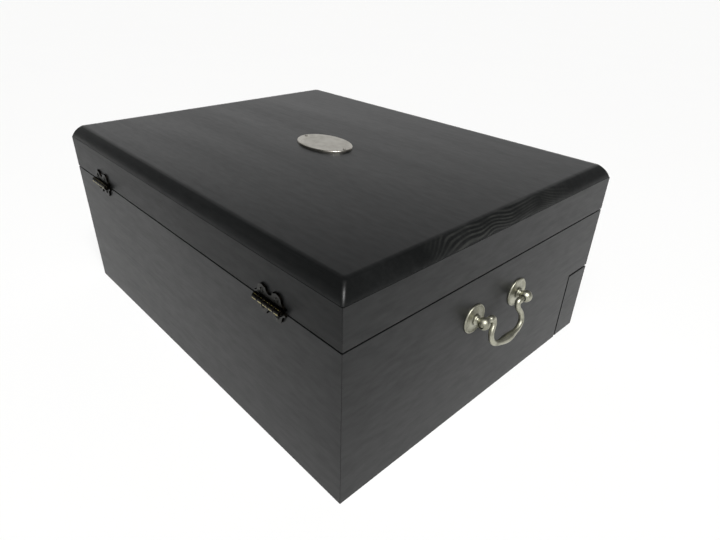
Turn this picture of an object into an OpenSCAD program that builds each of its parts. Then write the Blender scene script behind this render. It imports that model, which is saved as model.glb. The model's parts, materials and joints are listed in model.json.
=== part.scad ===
/* [Chest] */
// Width of the chest from end to end
chest_w = 457; // [400:1:520]
// Depth of the chest from front to back
chest_d = 356; // [310:1:410]
// Height of the body, from the table to the lid seam
body_h = 143.5; // [125:0.5:170]
// Thickness of the walls of the body and of the lid
wall_t = 12; // [10:0.5:15]
// Depth of the grooves and rebates that hold the floors
groove_d = 5; // [3:0.5:7]
// Thickness of the floor between compartment and drawer
floor_t = 5; // [4:0.5:7]
// Thickness of the bottom board
base_t = 8; // [6:0.5:10]
// Thickness of the felt under the bottom board
felt_t = 1; // [0.8:0.1:2]

/* [Lid] */
// Gap between the body and the closed lid
seam_gap = 1.2; // [0.8:0.1:2]
// Height of the lid's side rails
lid_rail_h = 33.8; // [28:0.2:45]
// Thickness of the lid's top board
lid_top_t = 12; // [10:0.2:18]
// Distance of the rounded edge's centre below its lip
lid_edge_extra = 4.4; // [1:0.2:8]
// Upright lip left below the rounded edge
lid_edge_lip = 0.8; // [0.4:0.1:2]
// Corner radius of the top board seen from above
lid_corner_r = 4; // [2:0.5:8]
// Largest opening angle of the lid
lid_open = 95; // [80:1:98]
// Diameter of the soft bumpers under the lid's front corners
bumper_d = 8; // [6:0.5:9]

/* [Drawer] */
// Depth of the drawer front, seen on the ends of the chest
drawer_front_d = 36; // [30:1:44]
// Distance from the rim of the body down to the top of the drawer front
drawer_front_drop = 66.5; // [62:0.5:76]
// Gap between the drawer front and the body
drawer_gap = 2.2; // [1.4:0.1:3]
// Clearance between the drawer front and the table
drawer_lift = 1; // [0.8:0.1:2]
// Travel of the drawer
drawer_travel = 210; // [150:5:230]
// Thickness of the drawer's sides, back and inner front
drawer_side_t = 9; // [7:0.5:12]
// Thickness of the drawer's bottom
drawer_bottom_t = 4; // [3:0.5:6]
// Clearance at each side of the drawer
drawer_side_gap = 1; // [0.6:0.1:1.6]
// Thickness of the runner strips under the drawer
runner_t = 2; // [1.5:0.5:4]
// Width of the runner strips
runner_w = 16; // [12:1:24]
// Running clearance between drawer and runner
runner_gap = 0.3; // [0.2:0.05:0.6]
// Thickness of the buffers behind the closed drawer
buffer_t = 6; // [4:0.5:10]
// Thickness of the drawer's divider
divider_t = 8; // [6:0.5:12]

/* [Hinges] */
// Distance from each end of the chest to the middle of its hinge
hinge_in = 75.5; // [50:0.5:110]
// Length of the hinge barrel
barrel_l = 33; // [28:1:40]
// Diameter of the hinge barrel
barrel_d = 5.8; // [5:0.2:7]
// Diameter of the hinge pin
hinge_pin_d = 2.4; // [2:0.1:3]
// Height of the hinge axis above the middle of the seam
hinge_rise = 1.2; // [0.8:0.1:2]
// Width of a hinge leaf beside the barrel
leaf_w = 37.2; // [35:0.2:42]
// Height of a hinge leaf from the hinge axis to its lobes
leaf_h = 12; // [11:0.5:15]
// Thickness of a hinge leaf
leaf_t = 1.8; // [1.4:0.1:2.2]
// Distance from the middle of a leaf to each lobe
lobe_x = 9.1; // [8.5:0.1:10]
// Radius of the lobes
lobe_r = 5.2; // [4.4:0.1:5.4]
// Diameter of the hinge screws
hinge_screw_d = 2.4; // [2:0.1:2.8]
// Length of the hinge screws in the wood
hinge_screw_l = 8; // [6:0.5:9]

/* [Handles] */
// Distance from the rim of the body down to the side handles' pivots
handle_drop = 39.5; // [26:0.5:41]
// Distance between the two posts of a handle
handle_span = 63.5; // [56:0.5:76]
// Diameter of the rosettes
rosette_d = 27; // [22:0.5:32]
// Thickness of a rosette at its middle
rosette_t = 2; // [1.6:0.1:2.6]
// Diameter of the ball on a post
ball_d = 11; // [10:0.5:13]
// Distance of the ball's centre from the wood
ball_out = 10; // [10:0.5:13]
// Diameter of the bail's pivot ends
bail_pin_d = 4.2; // [3.6:0.1:4.6]
// Diameter of the bail's arms
bail_rod_d = 5; // [4.4:0.1:5.6]
// Diameter of the bail's grip at its middle
bail_grip_d = 8; // [6:0.1:9]
// Drop of the bail from its pivots to the middle of its grip
bail_drop = 27; // [24:0.5:34]
// Outward lean of the side bails
bail_lean = 14; // [0:1:25]
// Diameter of the machine screws that hold the posts
post_screw_d = 4; // [3:0.1:4.2]
// Distance from each end of the drawer front to the middle of its pull
pull_in = 114.5; // [90:0.5:140]

/* [Lid stays] */
// Distance of the stay's pivot and stud from the hinge axis
stay_reach = 30; // [28:0.5:31]
// Width of the stay arm
stay_w = 8; // [7:0.5:9]
// Thickness of the stay arm
stay_t = 1.5; // [1:0.1:2]
// Diameter of the stay's pivot and stud
stay_pin_d = 3.5; // [3:0.1:4]

/* [Nameplate] */
// Length of the oval plate
plate_w = 70; // [64:1:86]
// Width of the oval plate
plate_d = 47; // [36:1:54]
// Thickness of the oval plate
plate_t = 2; // [1.4:0.1:2.6]
// Distance of each pin from the middle of the plate
plate_pin_x = 30.8; // [24:0.1:31]
// Diameter of the plate pins
plate_pin_d = 1.6; // [1.2:0.1:2]

/* [Lining] */
// Thickness of the cloth-covered boards that line the compartment
lining_t = 1.5; // [1:0.1:2]
// Drop of the wall lining below the rim
lining_drop = 3; // [2:0.5:6]
// Thickness of the cloth-covered panel inside the lid
lid_panel_t = 4; // [3:0.5:6]
// Number of slots in a flatware rack
slot_count = 10; // [6:1:12]
// Distance between slots
slot_pitch = 36; // [28:1:38]
// Width of a slot
slot_w = 8; // [6:0.5:12]
// Depth of a slot
slot_d = 20; // [14:1:24]
// Height of a flatware rack
rack_h = 28; // [27:1:32]
// Thickness of a flatware rack from front to back
rack_t = 22; // [16:1:30]
// Distance from the middle of the chest to each rack
rack_y = 75; // [50:1:90]

/* [Hidden] */
$fn = 48;
half_w = chest_w / 2;
half_d = chest_d / 2;
in_w = half_w - wall_t;
in_d = half_d - wall_t;
touch_gap = 0.3;
fit_gap = 0.05;
cut = 1;

// Levels of the body, drawer and lid
drawer_front_top = body_h - drawer_front_drop;
front_panel_z = drawer_front_top + drawer_gap;
groove_wood = 3;
floor_z = front_panel_z + groove_wood;
floor_top = floor_z + floor_t;
lining_top = floor_top + lining_t;
base_top = felt_t + base_t;
lid_z = body_h + seam_gap;
lid_rail_top = lid_z + lid_rail_h;
lid_top = lid_rail_top + lid_top_t;
notch_y = -half_d + drawer_front_d + drawer_gap;

// Drawer box
drawer_x = in_w - drawer_side_gap;
drawer_z = base_top + runner_t + runner_gap;
drawer_top_step = 2;
drawer_side_top = drawer_front_top - drawer_top_step;
drawer_back_y = in_d - buffer_t - touch_gap;
drawer_bottom_lift = 4;
drawer_bottom_z = drawer_z + drawer_bottom_lift;
drawer_groove = 4;
inner_front_y = -half_d + wall_t + drawer_side_t;
stop_y = drawer_back_y - drawer_side_t - drawer_travel;
stop_l = 14;
stop_clear = 1.2;
stop_catch = 3;
stop_z = drawer_side_top + stop_clear;
drawer_back_top = stop_z + stop_catch;
drawer_lining_t = 1;
divider_drop = 12.7;
buffer_w = 40;
buffer_h = 14;
buffer_x = 120;

// Hinge
hinge_x = half_w - hinge_in;
barrel_r = barrel_d / 2;
hinge_y = half_d + barrel_r + touch_gap;
hinge_z = body_h + seam_gap / 2 + hinge_rise;
knuckles = 5;
knuckle_l = barrel_l / knuckles;
knuckle_gap = 0.3;
lobe_z = leaf_h - lobe_r;
leaf_foot_h = 3.2;
hinge_head_r = hinge_screw_d * 0.9;
hinge_head_h = 0.9;
pin_cap_lip = 0.4;
pin_cap_r = hinge_pin_d / 2 + pin_cap_lip;
pin_cap_t = 0.8;

// Handle
handle_z = body_h - handle_drop;
post_x = handle_span / 2;
ball_r = ball_d / 2;
neck_r = ball_r * 0.58;
collar_r = ball_r * 0.84;
collar_h = 1.6;
rosette_rim = 1.1;
rosette_step = 1.3;
rosette_bevel = 0.4;
bail_pin_inset = 0.6;
bail_pin_end = post_x + ball_r - bail_pin_inset;
bail_neck_gap = 3.3;
bail_flare = 5.2;
bail_neck_x = post_x - ball_r - bail_rod_d - bail_neck_gap;
bail_belly_x = bail_neck_x + bail_flare;
bail_belly_drop = bail_drop * 0.61;
elbow_r = bail_rod_d * 0.62;
grip_half = bail_belly_x * 0.62;
screw_end_gap = 1;
post_screw_reach = ball_out - bail_pin_d / 2 - screw_end_gap;
screw_head_r = post_screw_d * 0.95;
screw_head_h = post_screw_d * 0.6;
screw_hole_gap = 0.2;
pull_rise = 9;
pull_x = half_w - pull_in;
pull_z = (drawer_lift + drawer_front_top) / 2 + pull_rise;

// Lid stay: pivot and stud lie equally far from the hinge axis
stay_pivot_lift = 5.8;
stay_stud_depth = 6;
stay_pivot_drop = lid_z + stay_pivot_lift - hinge_z;
stay_stud_drop = hinge_z - (body_h - stay_stud_depth);
stay_pivot_y = hinge_y - sqrt(pow(stay_reach, 2) - pow(stay_pivot_drop, 2));
stay_pivot_z = hinge_z + stay_pivot_drop;
stay_stud_y = hinge_y - sqrt(pow(stay_reach, 2) - pow(stay_stud_drop, 2));
stay_stud_z = hinge_z - stay_stud_drop;
stay_spread = asin(stay_pivot_drop / stay_reach) + asin(stay_stud_drop / stay_reach);
stay_near = 2 * stay_reach * sin(stay_spread / 2);
stay_far = 2 * stay_reach * sin((stay_spread + lid_open) / 2);
stay_pin_r = stay_pin_d / 2;
stay_angle = atan2(stay_stud_y - stay_pivot_y, stay_pivot_z - stay_stud_z);
stay_gap = 0.5;
stay_x = in_w - lining_t - stay_gap;
stay_head_lip = 1.5;
stay_head_r = stay_pin_r + stay_head_lip;
stay_head_t = 1.4;
stay_embed = 8;

// Lid top edge: an arc from the lip that meets the flat top at an arris
lid_edge_arris = 28;
lid_edge_drop = lid_edge_lip - lid_edge_extra;
lid_edge_r = (lid_top_t - lid_edge_drop) / cos(lid_edge_arris);
lid_edge_in = sqrt(pow(lid_edge_r, 2) - pow(lid_edge_extra, 2));

WOOD = "#2b2a28";
INNER_WOOD = "#4a3a2c";
CLOTH = "#3b332e";
NICKEL = "#b9b6ab";
BRONZE = "#3a3226";

// Places on the outside of the chest: x along the face, y inwards below zero, z up
module on_back() { translate([0, half_d, 0]) children(); }
module on_front() { translate([0, -half_d, 0]) rotate(180) children(); }
module on_left() { translate([-half_w, 0, 0]) rotate(90) children(); }
module on_right() { translate([half_w, 0, 0]) rotate(-90) children(); }

// Places of the handles: x along the span, y up, z out of the wood
module at_left_handle() { translate([-half_w, 0, handle_z]) rotate([90, 0, -90]) children(); }
module at_right_handle() { translate([half_w, 0, handle_z]) rotate([90, 0, 90]) children(); }
module at_pull(side) { translate([side * pull_x, -half_d, pull_z]) rotate([90, 0, 0]) children(); }

// A box from its lowest to its highest corner
module box(low, high) { translate(low) cube(high - low); }

// A board with mitred ends, its outer face on y = 0
module mitred_board(length, height) {
    linear_extrude(height)
        polygon([
            [-length / 2, 0],
            [length / 2, 0],
            [length / 2 - wall_t, -wall_t],
            [-length / 2 + wall_t, -wall_t]
        ]);
}

// The board between compartment and drawer, which also cuts its grooves
module floor_blank() {
    reach_x = in_w + groove_d;
    reach_y = in_d + groove_d;
    box([-reach_x, -reach_y, floor_z], [reach_x, reach_y, floor_top]);
}

// The space of the bottom board and felt, from one height to another
module base_blank(low, high) {
    reach_x = in_w + groove_d;
    box([-reach_x, notch_y, low], [reach_x, in_d + groove_d, high]);
}

// The holes through the wood behind a handle
module post_holes(depth) {
    for (side = [-1, 1])
        translate([side * post_x, 0, 0]) {
            translate([0, 0, -depth - cut])
                cylinder(h = depth + 2 * cut, d = post_screw_d + 2 * screw_hole_gap);
            translate([0, 0, -depth - cut])
                cylinder(h = screw_head_h + cut, r = screw_head_r + screw_hole_gap);
        }
}

// The four pilot holes of a pair of hinge leaves: up for the lid, down for the body
module hinge_pilots(up) {
    for (hinge = [-1, 1], side = [-1, 1])
        translate([hinge * hinge_x + side * lobe_x, half_d + cut, hinge_z + up * lobe_z])
            rotate([90, 0, 0])
                cylinder(h = hinge_screw_l + 2 * cut, d = hinge_screw_d + 2 * fit_gap);
}

// A hole along x for a stay's pivot or stud, in both ends of the chest
module stay_pilots(y, z) {
    for (side = [-1, 1])
        translate([side * (in_w - 2 * lining_t), y, z])
            rotate([0, side * 90, 0])
                cylinder(h = stay_embed + 2 * lining_t, r = stay_pin_r + fit_gap);
}

module side_panel_cuts() {
    box([-half_w - cut, -half_d - cut, -cut], [half_w + cut, notch_y, front_panel_z]);
    floor_blank();
    base_blank(-cut, base_top);
    stay_pilots(stay_stud_y, stay_stud_z);
}

module back_panel() {
    color(WOOD)
        difference() {
            on_back() mitred_board(chest_w, body_h);
            floor_blank();
            base_blank(-cut, base_top);
            hinge_pilots(-1);
        }
}

module left_side_panel() {
    color(WOOD)
        difference() {
            on_left() mitred_board(chest_d, body_h);
            side_panel_cuts();
            at_left_handle() post_holes(wall_t);
        }
}

module right_side_panel() {
    color(WOOD)
        difference() {
            on_right() mitred_board(chest_d, body_h);
            side_panel_cuts();
            at_right_handle() post_holes(wall_t);
        }
}

module front_panel() {
    color(WOOD)
        difference() {
            on_front() translate([0, 0, front_panel_z]) mitred_board(chest_w, body_h - front_panel_z);
            floor_blank();
        }
}

module compartment_floor() { color(INNER_WOOD) floor_blank(); }

module base_panel() { color(INNER_WOOD) base_blank(felt_t, base_top); }

module base_felt() { color(CLOTH) base_blank(0, felt_t); }

module drawer_runners() {
    color(INNER_WOOD)
        for (side = [-1, 1])
            translate([side * (in_w - runner_w / 2) - runner_w / 2, notch_y, base_top])
                cube([runner_w, in_d - notch_y, runner_t]);
}

module drawer_stop_rail() {
    color(INNER_WOOD)
        box([-drawer_x + runner_w, stop_y - stop_l, stop_z], [drawer_x - runner_w, stop_y, floor_z]);
}

module drawer_buffers() {
    color(CLOTH)
        for (side = [-1, 1])
            translate([side * buffer_x - buffer_w / 2, in_d - buffer_t, drawer_z])
                cube([buffer_w, buffer_t, buffer_h]);
}

module floor_lining() {
    reach_x = in_w - lining_t - touch_gap;
    reach_y = in_d - lining_t - touch_gap;
    color(CLOTH) box([-reach_x, -reach_y, floor_top], [reach_x, reach_y, lining_top]);
}

module wall_linings() {
    end_y = in_d - lining_t - touch_gap;
    color(CLOTH) {
        for (side = [-1, 1])
            translate([-in_w, side * (in_d - lining_t / 2) - lining_t / 2, floor_top])
                cube([2 * in_w, lining_t, body_h - lining_drop - floor_top]);
        difference() {
            for (side = [-1, 1])
                translate([side * (in_w - lining_t / 2) - lining_t / 2, -end_y, floor_top])
                    cube([lining_t, 2 * end_y, body_h - lining_drop - floor_top]);
            stay_pilots(stay_stud_y, stay_stud_z);
        }
    }
}

module rack() {
    length = slot_count * slot_pitch + 3 * slot_w;
    difference() {
        box([-length / 2, -rack_t / 2, lining_top], [length / 2, rack_t / 2, lining_top + rack_h]);
        for (i = [0 : slot_count - 1])
            translate([(i - (slot_count - 1) / 2) * slot_pitch, 0, lining_top + rack_h - slot_d])
                box([-slot_w / 2, -rack_t, 0], [slot_w / 2, rack_t, slot_d + cut]);
    }
}

module front_rack() { color(CLOTH) translate([0, -rack_y, 0]) rack(); }

module rear_rack() { color(CLOTH) translate([0, rack_y, 0]) rack(); }

module lid_bumpers() {
    color(CLOTH)
        for (side = [-1, 1])
            translate([side * (half_w - wall_t / 2), -half_d + wall_t / 2, body_h])
                cylinder(h = seam_gap, d = bumper_d);
}

// Half of the scalloped leaf, drawn upwards from the hinge axis
module leaf_outline() {
    lobe_side = lobe_x + lobe_r;
    flank = leaf_w / 2 - lobe_side;
    notch_r = lobe_x - lobe_r + touch_gap;
    for (side = [-1, 1])
        translate([side * lobe_x, lobe_z]) circle(lobe_r);
    translate([-lobe_side, touch_gap]) square([2 * lobe_side, lobe_z - touch_gap]);
    for (side = [-1, 1])
        difference() {
            translate([side * (lobe_side + flank / 2) - flank / 2, touch_gap])
                square([flank, leaf_foot_h + flank - touch_gap]);
            translate([side * leaf_w / 2, leaf_foot_h + flank]) circle(flank);
        }
    difference() {
        translate([-lobe_x, lobe_z - cut]) square([2 * lobe_x, notch_r + cut]);
        translate([0, lobe_z + notch_r]) circle(notch_r);
    }
}

// Round bars along the hinge axis over every second knuckle
module knuckle_bars(first, radius, gap) {
    for (i = [first : 2 : knuckles - 1])
        translate([-barrel_l / 2 + i * knuckle_l + gap / 2, 0, 0])
            rotate([0, 90, 0])
                cylinder(h = knuckle_l - gap, r = radius);
}

// One leaf on its axis, standing up for the lid and down for the body
module hinge_leaf(up) {
    own = up > 0 ? 1 : 0;
    difference() {
        union() {
            difference() {
                translate([0, -barrel_r - touch_gap, 0])
                    mirror([0, 0, up > 0 ? 0 : 1])
                        rotate([90, 0, 0])
                            mirror([0, 0, 1])
                                linear_extrude(leaf_t) leaf_outline();
                knuckle_bars(1 - own, barrel_r + knuckle_gap, -knuckle_gap);
            }
            knuckle_bars(own, barrel_r, knuckle_gap);
        }
        rotate([0, 90, 0])
            cylinder(h = barrel_l + 2 * cut, d = hinge_pin_d + 2 * fit_gap, center = true);
        for (end = [0, 1])
            mirror([end, 0, 0])
                translate([(barrel_l - knuckle_gap) / 2, 0, 0])
                    rotate([0, 90, 0])
                        cylinder(h = leaf_w, r = pin_cap_r + touch_gap);
        for (side = [-1, 1])
            translate([side * lobe_x, cut, up * lobe_z])
                rotate([90, 0, 0])
                    cylinder(h = barrel_d + 2 * cut, d = hinge_screw_d + 2 * fit_gap);
    }
}

module at_hinge(side) { translate([side * hinge_x, hinge_y, hinge_z]) children(); }

module left_hinge_body_leaf() { color(BRONZE) at_hinge(-1) hinge_leaf(-1); }

module right_hinge_body_leaf() { color(BRONZE) at_hinge(1) hinge_leaf(-1); }

module left_hinge_lid_leaf() { color(BRONZE) at_hinge(-1) hinge_leaf(1); }

module right_hinge_lid_leaf() { color(BRONZE) at_hinge(1) hinge_leaf(1); }

module hinge_pin() {
    rotate([0, 90, 0]) {
        cylinder(h = barrel_l + pin_cap_t, d = hinge_pin_d, center = true);
        for (end = [0, 1])
            mirror([0, 0, end])
                translate([0, 0, barrel_l / 2])
                    cylinder(h = pin_cap_t, r = pin_cap_r);
    }
}

module left_hinge_pin() { color(BRONZE) at_hinge(-1) hinge_pin(); }

module right_hinge_pin() { color(BRONZE) at_hinge(1) hinge_pin(); }

module hinge_screws(up) {
    for (hinge = [-1, 1], side = [-1, 1])
        translate([hinge * hinge_x + side * lobe_x, half_d + leaf_t, hinge_z + up * lobe_z])
            rotate([90, 0, 0]) {
                cylinder(h = leaf_t + hinge_screw_l, d = hinge_screw_d);
                translate([0, 0, -hinge_head_h])
                    cylinder(h = hinge_head_h, r1 = hinge_head_r * 0.7, r2 = hinge_head_r);
            }
}

module hinge_body_screws() { color(BRONZE) hinge_screws(-1); }

module hinge_lid_screws() { color(BRONZE) hinge_screws(1); }

// A pair of turned rosettes, with the holes of the post screws
module rosettes() {
    rim_r = rosette_d / 2;
    hole_r = post_screw_d / 2 + fit_gap;
    for (side = [-1, 1])
        translate([side * post_x, 0, 0])
            rotate_extrude()
                polygon([
                    [hole_r, 0],
                    [rim_r, 0],
                    [rim_r, rosette_rim - rosette_bevel],
                    [rim_r - rosette_bevel, rosette_rim],
                    [rim_r - rosette_step, rosette_rim],
                    [collar_r, rosette_t],
                    [hole_r, rosette_t]
                ]);
}

// A pair of posts: collar, neck and a ball with a cross bore for the bail
module posts() {
    for (side = [-1, 1])
        translate([side * post_x, 0, 0])
            difference() {
                union() {
                    translate([0, 0, rosette_t]) cylinder(h = collar_h, r = collar_r);
                    translate([0, 0, rosette_t]) cylinder(h = ball_out - rosette_t, r = neck_r);
                    translate([0, 0, ball_out]) sphere(ball_r);
                }
                translate([0, 0, ball_out])
                    rotate([0, 90, 0])
                        cylinder(h = ball_d + 2 * cut, d = bail_pin_d + 2 * fit_gap, center = true);
                cylinder(h = post_screw_reach, d = post_screw_d + 2 * fit_gap);
            }
}

// Machine screws from the inside of the wood into the posts
module post_screws(depth) {
    for (side = [-1, 1])
        translate([side * post_x, 0, -depth]) {
            cylinder(h = depth + post_screw_reach - touch_gap, d = post_screw_d);
            cylinder(h = screw_head_h, r = screw_head_r);
        }
}

// A point of a cubic curve through its four control points
function curve(a, b, c, d, t) =
    pow(1 - t, 3) * a + 3 * pow(1 - t, 2) * t * b + 3 * (1 - t) * t * t * c + t * t * t * d;

bail_arm_steps = 7;
bail_bow_steps = 9;
bail_elbow_steps = 4;
bail_sides = 16;
bail_pin_lap = 0.8;

// The bail's centre line, from the right pivot end down to the middle of its grip
bail_half = concat(
    [for (i = [0 : bail_elbow_steps])
        let (a = 90 * i / bail_elbow_steps)
        [bail_neck_x + elbow_r * (1 - sin(a)), -elbow_r * (1 - cos(a))]],
    [for (i = [1 : bail_arm_steps])
        curve(
            [bail_neck_x, -elbow_r],
            [bail_neck_x, -bail_belly_drop * 0.55],
            [bail_belly_x, -bail_belly_drop * 0.55],
            [bail_belly_x, -bail_belly_drop],
            i / bail_arm_steps)],
    [for (i = [1 : bail_bow_steps])
        curve(
            [bail_belly_x, -bail_belly_drop],
            [bail_belly_x, -bail_drop * 0.89],
            [bail_belly_x * 0.62, -bail_drop],
            [0, -bail_drop],
            i / bail_bow_steps)]
);
bail_line = concat(bail_half, [for (i = [len(bail_half) - 2 : -1 : 0]) [-bail_half[i].x, bail_half[i].y]]);

// Radius of the bail: slim arms, and a grip that swells towards its middle
function bail_radius(p) =
    let (low = p.y < -bail_belly_drop, reach = min(1, abs(p.x) / grip_half))
    bail_rod_d / 2 + (low ? (bail_grip_d - bail_rod_d) / 2 * pow(cos(90 * reach), 2) : 0);

// A round bar swept along a flat line of points
module swept_bar(line) {
    last = len(line) - 1;
    function along(i) =
        let (d = line[min(last, i + 1)] - line[max(0, i - 1)])
        i == 0 ? [-1, 0] : i == last ? [-1, 0] : d / norm(d);
    rings = [for (i = [0 : last], k = [0 : bail_sides - 1])
        let (
            t = along(i),
            r = bail_radius(line[i]),
            a = 360 * k / bail_sides,
            side = r * cos(a)
        )
        [line[i].x - t.y * side, line[i].y + t.x * side, r * sin(a)]];
    skin = [for (i = [0 : last - 1], k = [0 : bail_sides - 1])
        let (n = (k + 1) % bail_sides, a = i * bail_sides, b = (i + 1) * bail_sides)
        each [[a + k, b + k, b + n], [a + k, b + n, a + n]]];
    first_cap = [for (k = [1 : bail_sides - 2]) [0, k, k + 1]];
    last_cap = [for (k = [1 : bail_sides - 2])
        [last * bail_sides, last * bail_sides + k + 1, last * bail_sides + k]];
    polyhedron(points = rings, faces = concat(first_cap, skin, last_cap));
}

// A bail on its pivots, leaning out of the wood
module bail(lean) {
    start = bail_half[0].x;
    translate([0, 0, ball_out])
        rotate([-lean, 0, 0]) {
            swept_bar(bail_line);
            for (side = [0, 1])
                mirror([side, 0, 0])
                    translate([start - bail_pin_lap, 0, 0])
                        rotate([0, 90, 0])
                            cylinder(h = bail_pin_end - start + bail_pin_lap, d = bail_pin_d);
        }
}

module left_handle_rosettes() { color(NICKEL) at_left_handle() rosettes(); }

module left_handle_posts() { color(NICKEL) at_left_handle() posts(); }

module left_handle_screws() { color(NICKEL) at_left_handle() post_screws(wall_t); }

module left_bail() { color(NICKEL) at_left_handle() bail(bail_lean); }

module right_handle_rosettes() { color(NICKEL) at_right_handle() rosettes(); }

module right_handle_posts() { color(NICKEL) at_right_handle() posts(); }

module right_handle_screws() { color(NICKEL) at_right_handle() post_screws(wall_t); }

module right_bail() { color(NICKEL) at_right_handle() bail(bail_lean); }

// A headed stud along x at both ends of the chest, from the wood to the far side of the stay arm
module stay_bolts(y, z, collar) {
    head_x = stay_x - stay_t - touch_gap;
    for (side = [-1, 1])
        translate([side * (in_w + stay_embed - cut), y, z])
            rotate([0, -side * 90, 0]) {
                cylinder(h = in_w + stay_embed - cut - head_x, r = stay_pin_r);
                translate([0, 0, in_w + stay_embed - cut - head_x])
                    cylinder(h = stay_head_t, r = stay_head_r);
                if (collar)
                    translate([0, 0, stay_embed - cut])
                        cylinder(h = in_w - stay_x - touch_gap, r = stay_head_r);
            }
}

module stay_studs() { color(NICKEL) stay_bolts(stay_stud_y, stay_stud_z, false); }

module stay_pivots() { color(NICKEL) stay_bolts(stay_pivot_y, stay_pivot_z, true); }

// A flat bar with round ends, from one distance to another along y below zero
module round_bar(from, to, width) {
    translate([-width / 2, -to]) square([width, to - from]);
    translate([0, -from]) circle(d = width);
    translate([0, -to]) circle(d = width);
}

// The slotted arm hangs from its pivot on the lid, its slot over the stud on the body
module stay_arm(side) {
    slot_w = stay_pin_d + touch_gap;
    translate([side * (stay_x - stay_t / 2), stay_pivot_y, stay_pivot_z])
        rotate([stay_angle, 0, 0])
            rotate([90, 0, 90])
                translate([0, 0, -stay_t / 2])
                    linear_extrude(stay_t)
                        difference() {
                            round_bar(0, stay_far, stay_w);
                            circle(d = stay_pin_d + 2 * fit_gap);
                            round_bar(stay_near, stay_far, slot_w);
                        }
}

module left_stay_arm() { color(NICKEL) stay_arm(-1); }

module right_stay_arm() { color(NICKEL) stay_arm(1); }

// Section of the top board across one direction, with a rounded edge at each side
module top_section(width) {
    intersection() {
        translate([-width / 2, 0]) square([width, lid_top_t]);
        union() {
            translate([-width / 2, 0]) square([width, lid_edge_lip]);
            translate([-width / 2 + lid_edge_in, 0]) square([width - 2 * lid_edge_in, lid_top_t]);
            for (side = [-1, 1])
                translate([side * (width / 2 - lid_edge_in), lid_edge_drop])
                    circle(lid_edge_r, $fn = 96);
        }
    }
}

module round_plan(width, depth, radius) {
    square([width - 2 * radius, depth], center = true);
    square([width, depth - 2 * radius], center = true);
    for (x = [-1, 1], y = [-1, 1])
        translate([x * (width / 2 - radius), y * (depth / 2 - radius)]) circle(radius);
}

module lid_top_board() {
    color(WOOD)
        translate([0, 0, lid_rail_top])
            intersection() {
                rotate([90, 0, 90])
                    translate([0, 0, -half_w])
                        linear_extrude(chest_w) top_section(chest_d);
                rotate([90, 0, 0])
                    translate([0, 0, -half_d])
                        linear_extrude(chest_d) top_section(chest_w);
                linear_extrude(lid_top_t) round_plan(chest_w, chest_d, lid_corner_r);
            }
}

module lid_rail(length) { translate([0, 0, lid_z]) mitred_board(length, lid_rail_h); }

module lid_front_rail() { color(WOOD) on_front() lid_rail(chest_w); }

module lid_back_rail() {
    color(WOOD)
        difference() {
            on_back() lid_rail(chest_w);
            hinge_pilots(1);
        }
}

module lid_left_rail() {
    color(WOOD)
        difference() {
            on_left() lid_rail(chest_d);
            stay_pilots(stay_pivot_y, stay_pivot_z);
        }
}

module lid_right_rail() {
    color(WOOD)
        difference() {
            on_right() lid_rail(chest_d);
            stay_pilots(stay_pivot_y, stay_pivot_z);
        }
}

module lid_panel() {
    reach_x = in_w - touch_gap;
    reach_y = in_d - touch_gap;
    color(CLOTH)
        box([-reach_x, -reach_y, lid_rail_top - lid_panel_t], [reach_x, reach_y, lid_rail_top]);
}

// An oval outline, drawn in by a margin
module oval(margin) {
    points = 72;
    polygon([for (i = [0 : points - 1])
        let (a = 360 * i / points)
        [(plate_w / 2 - margin) * cos(a), (plate_d / 2 - margin) * sin(a)]]);
}

module nameplate() {
    bevel = 0.6;
    color(NICKEL)
        translate([0, 0, lid_top])
            difference() {
                union() {
                    linear_extrude(plate_t - bevel) oval(0);
                    linear_extrude(plate_t) oval(bevel);
                }
                for (side = [-1, 1])
                    translate([side * plate_pin_x, 0, -cut])
                        cylinder(h = plate_t + 2 * cut, d = plate_pin_d + 2 * fit_gap);
            }
}

module nameplate_pins() {
    head_r = plate_pin_d;
    sink = head_r * 0.4;
    color(NICKEL)
        for (side = [-1, 1])
            translate([side * plate_pin_x, 0, lid_top]) {
                cylinder(h = plate_t, d = plate_pin_d);
                translate([0, 0, plate_t])
                    intersection() {
                        translate([0, 0, -sink]) sphere(head_r);
                        cylinder(h = head_r, r = head_r);
                    }
            }
}

// The space of the drawer's bottom board, which also cuts its grooves
module drawer_bottom_blank() {
    reach_x = drawer_x - drawer_side_t + drawer_groove;
    box(
        [-reach_x, inner_front_y - drawer_groove, drawer_bottom_z],
        [reach_x, drawer_back_y - drawer_side_t + drawer_groove, drawer_bottom_z + drawer_bottom_t]);
}

module pull_holes() {
    for (side = [-1, 1])
        at_pull(side) post_holes(wall_t + drawer_side_t);
}

module drawer_front() {
    color(WOOD)
        difference() {
            on_front() translate([0, 0, drawer_lift]) mitred_board(chest_w, drawer_front_top - drawer_lift);
            pull_holes();
        }
}

// What is cut from a full side board to leave the end of the drawer front
module behind_drawer_front() {
    box(
        [-half_w - cut, -half_d + drawer_front_d, -cut],
        [half_w + cut, half_d + cut, drawer_front_top + cut]);
}

module drawer_left_return() {
    color(WOOD)
        difference() {
            on_left() translate([0, 0, drawer_lift]) mitred_board(chest_d, drawer_front_top - drawer_lift);
            behind_drawer_front();
        }
}

module drawer_right_return() {
    color(WOOD)
        difference() {
            on_right() translate([0, 0, drawer_lift]) mitred_board(chest_d, drawer_front_top - drawer_lift);
            behind_drawer_front();
        }
}

module drawer_inner_front() {
    color(INNER_WOOD)
        difference() {
            box([-in_w, -half_d + wall_t, drawer_z], [in_w, inner_front_y, drawer_side_top]);
            drawer_bottom_blank();
            pull_holes();
        }
}

module drawer_side(side) {
    difference() {
        translate([side * (drawer_x - drawer_side_t / 2) - drawer_side_t / 2, inner_front_y, drawer_z])
            cube([drawer_side_t, drawer_back_y - inner_front_y, drawer_side_top - drawer_z]);
        drawer_bottom_blank();
    }
}

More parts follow.
